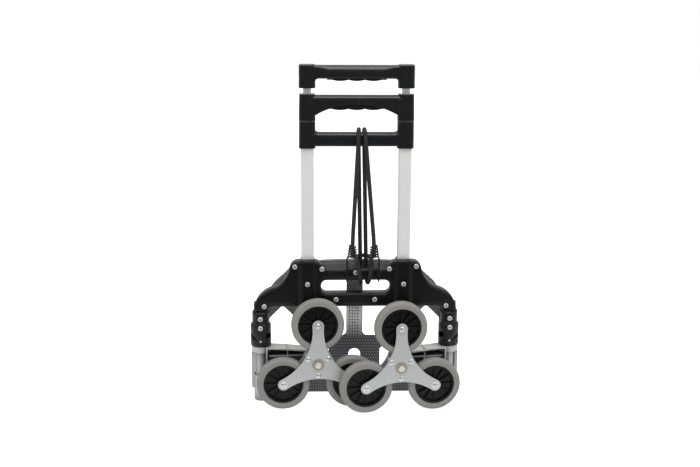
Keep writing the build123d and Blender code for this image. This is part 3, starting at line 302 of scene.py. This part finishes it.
for vertex in top_grip.data.vertices:
    way = [1 if vertex.co.x > 0 else -1, 1 if vertex.co.y > POST_Y else -1, 1]
    gaps = [room[0] - abs(vertex.co.x), room[1] - abs(vertex.co.y - POST_Y),
            room[2] - vertex.co.z]
    if min(gaps) > 0:
        nearest = gaps.index(min(gaps))
        vertex.co[nearest] += min(gaps) * way[nearest]
top_grip.data.materials.append(grip_moulding)
top_grip.data.shade_smooth()
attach(top_grip, "inner_stage")
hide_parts("top_handle")

# Screws: zinc-plated steel with pan heads and a cross recess, cold headed, driven in from the
# wheel side of the yoke and of the cam collars. Each is turned on from the one before.
HEAD_D, HEAD_H, HEAD_SIDES = 11.4 * MM, 2.6 * MM, 24
HEAD_OUTLINE = (                 # shares of the head's width and height, from its seat up
    (0.5, 0), (0.5, 0.35), (0.46, 0.7), (0.4, 0.92), (0.33, 1),
)
CROSS_ARM, CROSS_HALF, CROSS_DEEP = 3.4 * MM, 1.0 * MM, 2.0 * MM
SCREW_TURN = 0.7                 # radians from one screw to the next
SHARP_EDGE = radians(40)
WHEEL_SIDE = Matrix.Rotation(pi / 2, 4, "X")

# Bright zinc: pale and shiny, with painted shade making the cross recess nearly black.
zinc = grained("bright zinc plate", "#dcdcd8", roughness=0.28, metal=0.55, grain=2.0 * MM,
               depth=0.03 * MM, edge=0.4 * MM, painted_hollow_shade=("#20252a", 2 * MM))


def lathe(name, outline, closed, sides):
    """A turned mesh about +Z from an outline of (radius, height) points."""
    made = bmesh.new()
    rings = []
    for radius, height in outline:
        turns = [2 * pi * k / sides for k in range(sides)] if radius else [0]
        rings.append([made.verts.new((radius * cos(turn), radius * sin(turn), height))
                      for turn in turns])
    pairs = list(zip(rings, rings[1:])) + ([(rings[-1], rings[0])] if closed else [])
    for low, high in pairs:
        for k in range(sides):
            after = (k + 1) % sides
            corners = [low[k % len(low)], low[after % len(low)],
                       high[after % len(high)], high[k % len(high)]]
            made.faces.new(list(dict.fromkeys(corners)))
    bmesh.ops.recalc_face_normals(made, faces=made.faces)
    mesh = mesh_of(made, name)
    mesh.shade_smooth()
    mesh.set_sharp_from_angle(angle=SHARP_EDGE)
    return mesh


def cross_head():
    """A pan head with a cross recess, its seat at the origin and its top up."""
    rim = [(HEAD_D * across, HEAD_H * up) for across, up in HEAD_OUTLINE]
    made = bmesh.new()
    made.from_mesh(lathe("head rim", rim, False, HEAD_SIDES))
    a, c = CROSS_ARM, CROSS_HALF
    cross = [(a, -c), (a, c), (c, c), (c, a), (-c, a), (-c, c),
             (-a, c), (-a, -c), (-c, -c), (-c, -a), (c, -a), (c, -c)]
    upper = [made.verts.new((x, y, HEAD_H)) for x, y in cross]
    lower = [made.verts.new((x, y, HEAD_H - CROSS_DEEP)) for x, y in cross]
    after = [(k + 1) % len(cross) for k in range(len(cross))]
    loop = [made.edges.new((upper[k], upper[after[k]])) for k in range(len(cross))]
    brim = [edge for edge in made.edges if edge.is_boundary
            and all(abs(vertex.co.z - HEAD_H) < WELD for vertex in edge.verts)]
    bmesh.ops.triangle_fill(made, edges=loop + brim, use_beauty=True)
    for k in range(len(cross)):
        made.faces.new((upper[k], upper[after[k]], lower[after[k]], lower[k]))
    made.faces.new(lower)
    bmesh.ops.recalc_face_normals(made, faces=made.faces)
    return mesh_of(made, "cross head")


def node_group(name, inputs):
    """An empty Geometry Nodes tree with named inputs of the given kinds, and both its ends."""
    group = bpy.data.node_groups.new(name, "GeometryNodeTree")
    group.interface.new_socket("Geometry", in_out="OUTPUT", socket_type="NodeSocketGeometry")
    for label, kind in {"Geometry": "Geometry", **inputs}.items():
        group.interface.new_socket(label, in_out="INPUT", socket_type=f"NodeSocket{kind}")
    return group, add(group, "NodeGroupInput"), add(group, "NodeGroupOutput")


def run_nodes(made, group, inputs):
    """Put a tree on an object with its named inputs, before it is first evaluated."""
    modifier = made.modifiers.new(group.name, "NODES")
    modifier.node_group = group
    keys = {item.name: item.identifier
            for item in group.interface.items_tree if item.in_out == "INPUT"}
    for label, value in inputs.items():
        modifier[keys[label]] = value
    return made


head_nodes, given, out = node_group("planted heads", {"Turn": "Float", "Head": "Object",
                                                      "Finish": "Material"})
head_shape = add(head_nodes, "GeometryNodeObjectInfo",
                 {"Object": given.outputs["Head"], "As Instance": True})
number = add(head_nodes, "GeometryNodeInputIndex")
drive = add(head_nodes, "ShaderNodeMath",
            {0: number.outputs[0], 1: given.outputs["Turn"]}, operation="MULTIPLY")
facing = add(head_nodes, "ShaderNodeCombineXYZ", {"Z": drive.outputs[0]})
planted = add(head_nodes, "GeometryNodeInstanceOnPoints",
              {"Points": given.outputs["Geometry"], "Instance": head_shape.outputs["Geometry"],
               "Rotation": facing.outputs[0]})
real = add(head_nodes, "GeometryNodeRealizeInstances", {"Geometry": planted.outputs[0]})
dressed = add(head_nodes, "GeometryNodeSetMaterial",
              {"Geometry": real.outputs[0], "Material": given.outputs["Finish"]})
head_nodes.links.new(dressed.outputs[0], out.inputs[0])


def solids(name):
    """The lowest and highest corners of each separate solid of a CAD node."""
    copy = welded(name)
    boxes = []
    pending = set(copy.verts)
    while pending:
        group, edge = set(), [pending.pop()]
        while edge:
            vertex = edge.pop()
            group.add(vertex)
            near = {e.other_vert(vertex) for e in vertex.link_edges} & pending
            pending -= near
            edge += near
        boxes.append([[pick(v.co[k] for v in group) for k in range(3)] for pick in (min, max)])
    copy.free()
    return sorted(boxes)


def plant(name, shape, spots, place, finish, turn):
    """Heads of one shape on the given seats, up along the place's +Z, as one plain mesh."""
    mesh = bpy.data.meshes.new(name)
    mesh.from_pydata([place.inverted() @ Vector(spot) for spot in spots], [], [])
    head = put(f"{name} head", shape)
    seats = run_nodes(put(f"{name} seats", mesh), head_nodes,
                      {"Turn": turn, "Head": head, "Finish": finish})
    made = plain_mesh(seats, name)
    made.data.transform(place)
    bpy.data.objects.remove(head)
    return made


screw_head = cross_head()
for name in ("yoke_screws", "collar_screws"):
    seats = [((low[0] + high[0]) / 2, high[1], (low[2] + high[2]) / 2)
             for low, high in solids(name)]
    screws = plant(f"{name}_heads", screw_head, seats, WHEEL_SIDE, zinc, SCREW_TURN)
    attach(screws, "frame")
    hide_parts(name)

# Posts, feet and swing arms: steel tubes that stand in the yoke, with cast feet below and, on
# each post, a cast arm that is ribbed and open to the wheel side, and its cam follower.

# Die-cast aluminium: light grey and a little rough, with painted shade darkening the sunken
# pockets between the ribs.
cast = grained("die-cast aluminium", "#c0c0be", roughness=0.45, metal=0.3, grain=2.2 * MM,
               depth=0.12 * MM, edge=0.8 * MM, painted_hollow_shade=("#161617", 30 * MM))
dress(cast, *[f"{side}_{piece}"
              for side in SIDES for piece in ("foot", "wheel_arm", "cam_follower")])

# Plated tube: a cool, metallic shine that runs down its length.
plated_tube = grained("zinc-plated steel tube", "#c6c8c8", roughness=0.32, metal=0.8,
                      grain=1.5 * MM, depth=0.02 * MM, edge=0.5 * MM)
dress(plated_tube, *[f"{side}_post" for side in SIDES])

# Three-wheel stars: two pressed plates of steel sheet, held apart by rivets, on a turned bush
# that runs on the axle in its arm. The wheels run on pins between the plates.

# Plated sheet: flat light grey, satin, with a soft light on the pressed edges.
plated_sheet = grained("zinc-plated steel sheet", "#bec0c1", roughness=0.42, metal=0.45,
                       grain=2.0 * MM, depth=0.02 * MM, edge=1.2 * MM)
dress(plated_sheet, *[f"{side}_star_{face}_plate" for side in SIDES for face in ("front", "rear")])

# Dull brass: warm grey with a metallic shine.
brass = grained("dull brass", "#b0a692", roughness=0.35, metal=0.8,
                grain=2.0 * MM, depth=0.02 * MM, edge=0.4 * MM)
dress(brass, *[f"{side}_star_bush" for side in SIDES])

# Bright plating: smooth and silvery, with small, sharp lights.
bright_pin = grained("bright plated steel", "#dcdede", roughness=0.26, metal=0.78,
                     grain=2.0 * MM, depth=0.02 * MM, edge=0.2 * MM)
dress(bright_pin, "hinge_pins", *[f"{side}_{piece}" for side in SIDES
                                  for piece in ("star_axle", "star_rivets", "wheel_pins")])

# Dome heads: the ends of the wheel pins and star rivets, of the same bright plated steel, pressed
# into a dome. The rivets' domes lie on the plate, and the pins' domes on a washer.
DOME_R, DOME_WALL, DOME_H = 6.5 * MM, 0.6 * MM, 2.8 * MM
DOME_STEPS, DOME_SIDES = 7, 24
WASHER_T = 1 * MM

ball_r = (DOME_R ** 2 + DOME_H ** 2) / (2 * DOME_H)
dome = [(DOME_R, 0)]
for k in range(DOME_STEPS):
    radius = DOME_R * (1 - k / (DOME_STEPS - 1))
    dome.append((radius, DOME_WALL + (ball_r ** 2 - radius ** 2) ** 0.5 - (ball_r - DOME_H)))
dome_mesh = lathe("dome", dome, False, DOME_SIDES)


def spin_place(name):
    """Where a turning piece sits: its joint's place, with +Z along the axle to the wheel side."""
    joint = next(joint for joint in frame["joints"] if joint["name"] == name)
    out = Vector(joint["axis"]).normalized()
    out = out if out.y < 0 else -out
    across = Vector((0, 0, 1)).cross(out).normalized()
    turn = Matrix((across, out.cross(across), out)).transposed().to_4x4()
    return Matrix.Translation(joint["pos_m"]) @ turn


for side in SIDES:
    place = spin_place(f"{side}_star_turn")
    inward = place.inverted()
    plate = frame["nodes"][f"{side}_star_front_plate"].data
    face = max((inward @ vertex.co).z for vertex in plate.vertices)
    seats = []
    for name, proud in ((f"{side}_star_rivets", 0), (f"{side}_wheel_pins", WASHER_T)):
        for low, high in solids(name):
            seat = inward @ ((Vector(low) + Vector(high)) / 2)
            seats.append(place @ Vector((seat.x, seat.y, face + proud)))
    domes = plant(f"{side}_star_domes", dome_mesh, seats, place, bright_pin, 0)
    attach(domes, f"{side}_star")

# Wheels: ribbed rims moulded in black polypropylene, each with a solid rubber tyre pressed on.
# The tyre has a low step in its side walls and round shoulders.
TREAD_R, RIM_R, TYRE_HALF, SHOULDER = 60 * MM, 45.5 * MM, 11 * MM, 5 * MM
WALL_STEP_R, WALL_STEP = 50.5 * MM, 0.6 * MM
SHOULDER_TURNS = range(0, 91, 15)    # degrees
TYRE_SIDES = 96

# Moulded rim: black, with thin lights on its ribs and hardly any shine between them.
black_rim = grained("moulded black rim", "#0c0d0e", roughness=0.32, metal=0.0,
                    grain=GRAIN, depth=0.03 * MM, edge=1.2 * MM, shine=0.26)

# Grey rubber: a warm mid grey, dull and slightly rough.
grey_rubber = grained("grey rubber", "#83817d", roughness=0.62, metal=0.0,
                      grain=1.6 * MM, depth=0.08 * MM, edge=0.5 * MM, shine=0.35)

wall = [(RIM_R, TYRE_HALF - WALL_STEP), (WALL_STEP_R, TYRE_HALF - WALL_STEP),
        (WALL_STEP_R + WALL_STEP, TYRE_HALF)]
wall += [(TREAD_R - SHOULDER * (1 - sin(radians(turn))),
          TYRE_HALF - SHOULDER * (1 - cos(radians(turn)))) for turn in SHOULDER_TURNS]
tyre_mesh = lathe("tyre", wall + [(r, -out) for r, out in reversed(wall)], True, TYRE_SIDES)
for side in SIDES:
    for spot in ("top", "low_left", "low_right"):
        wheel = f"{side}_{spot}_wheel"
        mesh = tyre_mesh.copy()
        mesh.name = f"{side}_{spot}_rubber"
        mesh.transform(spin_place(f"{wheel}_roll"))
        mesh.materials.append(grey_rubber)
        tyre = put(f"{side}_{spot}_rubber", mesh)
        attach(tyre, wheel)
        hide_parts(f"{side}_{spot}_tyre")
        dress(black_rim, f"{side}_{spot}_rim")

# Toe plate: pressed plate, punched all over with small square holes for grip, powder coated and
# hinged on pins in the feet. The holes are drawn, in staggered rows on the plate and in straight
# rows down the folded middle rib and on the lip.
HOLE_ACROSS, HOLE_UP = 6.3 * MM, 7.2 * MM
OPEN_SHARE, DARK_SHARE = 0.34, 0.46          # width of a hole as a share of its pitch
RIB_HALF, RIB_ROWS = 17.5 * MM, 12.6 * MM
RIB_TOP, RIB_LOW, LIP_TOP = 240 * MM, 142 * MM, 80 * MM
# heights over which the painted light runs from shade at the rib's foot to light up the rib
PAINTED_FALL_LOW, PAINTED_FALL_HIGH = RIB_LOW - 10 * MM, RIB_LOW + 45 * MM
SQUARE_ON = 0.5                              # a face turned further away than this shows no holes

# Powder coat: satin mid grey, with painted light and shade: the rib is painted pale at the top and
# dark at its foot, and the plate beside it darker towards the foot. Holes show the pale paper
# behind the plate, and are painted dark, as shade, where the rib and the lip close them off.
plate_coat, tree = blank_material("grey powder coat")
where = add(tree, "ShaderNodeTexCoord")
spot = add(tree, "ShaderNodeSeparateXYZ", {0: where.outputs["Object"]})
facing = add(tree, "ShaderNodeSeparateXYZ", {0: where.outputs["Normal"]})
scaled = add(tree, "ShaderNodeVectorMath",
             {0: where.outputs["Object"], 1: (1 / HOLE_ACROSS, 1, 1 / HOLE_UP)},
             operation="MULTIPLY")
cells = add(tree, "ShaderNodeSeparateXYZ", {0: scaled.outputs[0]})
marks = {"across": spot.outputs["X"], "height": spot.outputs["Z"], "facing": facing.outputs["Y"],
         "column": cells.outputs["X"], "row": cells.outputs["Z"]}
for mark, operation, *terms in (
        ("off middle", "ABSOLUTE", "across"),
        ("under rib top", "LESS_THAN", "height", RIB_TOP),
        ("over rib foot", "GREATER_THAN", "height", RIB_LOW),
        ("rib height", "MULTIPLY", "under rib top", "over rib foot"),
        ("rib width", "LESS_THAN", "off middle", RIB_HALF),
        ("rib strip", "MULTIPLY", "rib width", "rib height"),
        ("wheel side", "LESS_THAN", "facing", -SQUARE_ON),
        ("rib", "MULTIPLY", "rib strip", "wheel side"),
        ("lip", "LESS_THAN", "height", LIP_TOP),
        ("straight", "MAXIMUM", "rib", "lip"),
        ("staggered", "SUBTRACT", 1.0, "straight"),
        ("row number", "FLOOR", "row"),
        ("odd row", "FLOORED_MODULO", "row number", 2.0),
        ("half pitch", "MULTIPLY", "odd row", 0.5),
        ("shift", "MULTIPLY", "half pitch", "staggered"),
        ("shifted", "ADD", "column", "shift"),
        ("in column", "FRACT", "shifted"),
        ("in row", "FRACT", "row"),
        ("hole share", "MULTIPLY_ADD", "straight", DARK_SHARE - OPEN_SHARE, OPEN_SHARE),
        ("hole across", "LESS_THAN", "in column", "hole share"),
        ("hole up", "LESS_THAN", "in row", "hole share"),
        ("hole", "MULTIPLY", "hole across", "hole up"),
        ("past rows", "GREATER_THAN", "off middle", RIB_ROWS),
        ("rib margin", "MULTIPLY", "past rows", "rib"),
        ("kept hole", "SUBTRACT", "hole", "rib margin"),
        ("whole hole", "GREATER_THAN", "kept hole", 0.5),
        ("turned away", "ABSOLUTE", "facing"),
        ("flat face", "GREATER_THAN", "turned away", SQUARE_ON),
        ("punched", "MULTIPLY", "whole hole", "flat face")):
    sums = add(tree, "ShaderNodeMath",
               {k: marks.get(term, term) for k, term in enumerate(terms)}, operation=operation)
    marks[mark] = sums.outputs[0]

# Painted light and shade: a share that rises with height, for the rib's and plate's tones below.
fall = add(tree, "ShaderNodeMapRange",
           {"Value": marks["height"], "From Min": PAINTED_FALL_LOW, "From Max": PAINTED_FALL_HIGH})
marks["fall"] = fall.outputs[0]
tones = {}
for tone, mark, without, within in (
        ("rib", "fall", "#686c6e", "#f4f3ef"),
        ("web", "fall", "#5c6062", "#747779"),
        ("plate", "rib", "web", "rib"),
        ("coat", "lip", "plate", "#76787b"),
        ("hole", "straight", "#b4b6b8", "#2c2d2e"),
        ("all", "punched", "coat", "hole")):
    mixed = add(tree, "ShaderNodeMix",
                {"Factor": marks[mark],
                 "A": tones[without] if without in tones else linear(without),
                 "B": tones[within] if within in tones else linear(within)}, data_type="RGBA")
    tones[tone] = mixed.outputs["Result"]
sunk = add(tree, "ShaderNodeBump",
           {"Height": marks["punched"], "Strength": 0.6, "Distance": 0.5 * MM}, invert=True)
coat = add(tree, "ShaderNodeBsdfPrincipled",
           {"Base Color": tones["all"], "Roughness": 0.5, "Metallic": 0.1,
            "Normal": sunk.outputs[0]})
add(tree, "ShaderNodeOutputMaterial", {"Surface": coat.outputs[0]})
dress(plate_coat, "toe_plate")

# Bungee cord: woven polyester sheath over rubber strands, tied to the yoke rail at its middle,
# pulled up behind the tubes, over the crossbar and down to a hook at each end.
CORD_D = 9.5 * MM
CORD_STEPS, CORD_SIDES = 10, 16
CORD_ROUTE = [          # millimetres, with the depth taken from the posts' axis
    (-8, -21.85, 349), (-8, -21.85, 375), (-5.1, -21.1, 432), (2.1, -19.1, 575),
    (5, -20, 632.2), (5.3, 20, 632.2), (6.6, 18.6, 575), (11.6, 20.2, 345),
    (13, 26, 281.5), (11.5, -26, 281.5), (5, -22.5, 329), (0.5, 32, 336),
    (37.5, 32, 336), (37, -22.5, 329), (28.5, -26, 281.5), (26, 26, 281.5),
    (24.6, 20.2, 345), (19.1, 18.6, 575), (17.8, 20, 632.2), (18, -20, 632.2),
    (23.1, -19.1, 575), (35.9, -21.1, 432), (41, -21.85, 375), (41, -21.85, 349),
]
WEAVE_PITCH = 2.4 * MM  # a real thread is under 1 mm wide, drawn coarser so that it shows
WEAVE_ROUND = 8.0       # pitches round the cord


def route_curve(name, points, steps):
    """A smooth open curve with the route's points as its control points."""
    curve = bpy.data.curves.new(name, "CURVE")
    curve.dimensions = "3D"
    spline = curve.splines.new("NURBS")
    spline.points.add(len(points) - 1)
    for point, place in zip(spline.points, points):
        point.co = (*place, 1)
    spline.order_u = 3
    spline.use_endpoint_u = True
    spline.resolution_u = steps
    return put(name, curve)


# Woven polyester: slanting rows of dull black thread, with painted shade darkening the furrows
# between them.
woven_sheath, tree = blank_material("woven polyester sheath")
thread = add(tree, "ShaderNodeAttribute", attribute_name="thread")
warp = add(tree, "ShaderNodeTexWave",
           {"Vector": thread.outputs["Vector"], "Scale": 1.0, "Distortion": 0.0},
           bands_direction="DIAGONAL")
shade = add(tree, "ShaderNodeMix",
            {"Factor": warp.outputs["Fac"], "A": linear("#121315"), "B": linear("#2a2b2d")},
            data_type="RGBA")
ridge = add(tree, "ShaderNodeBump",
            {"Height": warp.outputs["Fac"], "Strength": 0.5, "Distance": 0.4 * MM})
cloth = add(tree, "ShaderNodeBsdfPrincipled",
            {"Base Color": shade.outputs["Result"], "Roughness": 0.75,
             "Normal": ridge.outputs[0]})
add(tree, "ShaderNodeOutputMaterial", {"Surface": cloth.outputs[0]})

sheath_nodes, given, out = node_group("woven sheath",
                                      {"Diameter": "Float", "Weave pitch": "Float"})
along = add(sheath_nodes, "GeometryNodeSplineParameter")
wound = add(sheath_nodes, "GeometryNodeCaptureAttribute", {0: given.outputs["Geometry"]},
            domain="POINT")
wound.capture_items.new("FLOAT", "Along")
sheath_nodes.links.new(along.outputs["Length"], wound.inputs["Along"])
cord_r = add(sheath_nodes, "ShaderNodeMath", {0: given.outputs["Diameter"], 1: 0.5},
             operation="MULTIPLY")
ring = add(sheath_nodes, "GeometryNodeCurvePrimitiveCircle",
           {"Resolution": CORD_SIDES, "Radius": cord_r.outputs[0]})
around = add(sheath_nodes, "GeometryNodeSplineParameter")
turned = add(sheath_nodes, "GeometryNodeCaptureAttribute", {0: ring.outputs["Curve"]},
             domain="POINT")
turned.capture_items.new("FLOAT", "Around")
sheath_nodes.links.new(around.outputs["Factor"], turned.inputs["Around"])
skin = add(sheath_nodes, "GeometryNodeCurveToMesh",
           {"Curve": wound.outputs["Geometry"], "Profile Curve": turned.outputs["Geometry"],
            "Fill Caps": True})
pitches = add(sheath_nodes, "ShaderNodeMath",
              {0: wound.outputs["Along"], 1: given.outputs["Weave pitch"]}, operation="DIVIDE")
strands = add(sheath_nodes, "ShaderNodeMath", {0: turned.outputs["Around"], 1: WEAVE_ROUND},
              operation="MULTIPLY")
places = add(sheath_nodes, "ShaderNodeCombineXYZ",
             {"X": pitches.outputs[0], "Y": strands.outputs[0]})
stored = add(sheath_nodes, "GeometryNodeStoreNamedAttribute",
             {"Geometry": skin.outputs[0], "Name": "thread", "Value": places.outputs[0]},
             data_type="FLOAT_VECTOR", domain="POINT")
smooth = add(sheath_nodes, "GeometryNodeSetShadeSmooth", {"Geometry": stored.outputs[0]})
real = add(sheath_nodes, "GeometryNodeRealizeInstances", {"Geometry": smooth.outputs[0]})
dressed = add(sheath_nodes, "GeometryNodeSetMaterial",
              {"Geometry": real.outputs[0], "Material": woven_sheath})
sheath_nodes.links.new(dressed.outputs[0], out.inputs[0])

route = [Vector((x * MM, y * MM + POST_Y, z * MM)) for x, y, z in CORD_ROUTE]
line = plain_mesh(route_curve("cord line", route, CORD_STEPS), "cord line")
bpy.data.objects.remove(line)
cord = plain_mesh(run_nodes(route_curve("cord route", route, CORD_STEPS), sheath_nodes,
                            {"Diameter": CORD_D, "Weave pitch": WEAVE_PITCH}),
                  "woven_bungee_cord")
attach(cord, "frame")
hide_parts("bungee_cord")

# Bungee hooks: black coated spring wire, wound in a cone that grips the cord's end, then led
# down the wheel side of the yoke rail and hooked in the slot under it.
WIRE_D, WIRE_STEPS, WIRE_SIDES = 3.9 * MM, 4, 3
COIL_TURNS, COIL_STEPS = 5, 16
COIL_HIGH, COIL_LOW = 372 * MM, 344 * MM
COIL_R_HIGH, COIL_R_LOW = 7.0 * MM, 10.6 * MM
COIL_END = radians(140)
RAIL_UNDER = 286.9 * MM
TAIL, BEND, REACH = 4.5 * MM, 9 * MM, 16 * MM  # out of the coil, at a corner, under the rail

# Dipped coat on wire: smooth and black, with a clear light along each turn of the coil.
coated_wire = grained("black coated spring wire", "#17181a", roughness=0.26, metal=0.0,
                      grain=GRAIN, depth=0.02 * MM, edge=0.4 * MM)

for side, hand, axis in (("left", -1, route[0]), ("right", 1, route[-1])):
    wire = []
    steps = COIL_TURNS * COIL_STEPS
    for k in range(steps + 1):
        share = k / steps
        turn = COIL_END - 2 * pi * COIL_TURNS * (1 - share)
        radius = COIL_R_HIGH + (COIL_R_LOW - COIL_R_HIGH) * share
        wire.append(Vector((axis.x - hand * radius * cos(turn), axis.y + radius * sin(turn),
                            COIL_HIGH - (COIL_HIGH - COIL_LOW) * share)))
    shank = wire[-1] + (wire[-1] - wire[-2]).normalized() * TAIL
    wire += [Vector((shank.x, shank.y + under, height)) for under, height in (
        (0, shank.z), (0, shank.z - BEND), (0, RAIL_UNDER + BEND), (0, RAIL_UNDER),
        (REACH / 2, RAIL_UNDER), (REACH, RAIL_UNDER))]
    bent = route_curve(f"{side} wire", wire, WIRE_STEPS)
    bent.data.bevel_depth = WIRE_D / 2
    bent.data.bevel_resolution = WIRE_SIDES
    bent.data.use_fill_caps = True
    hook = plain_mesh(bent, f"{side}_spring_hook")
    hook.data.materials.append(coated_wire)
    hook.data.shade_smooth()
    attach(hook, "frame")
    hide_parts(f"{side}_bungee_hook")
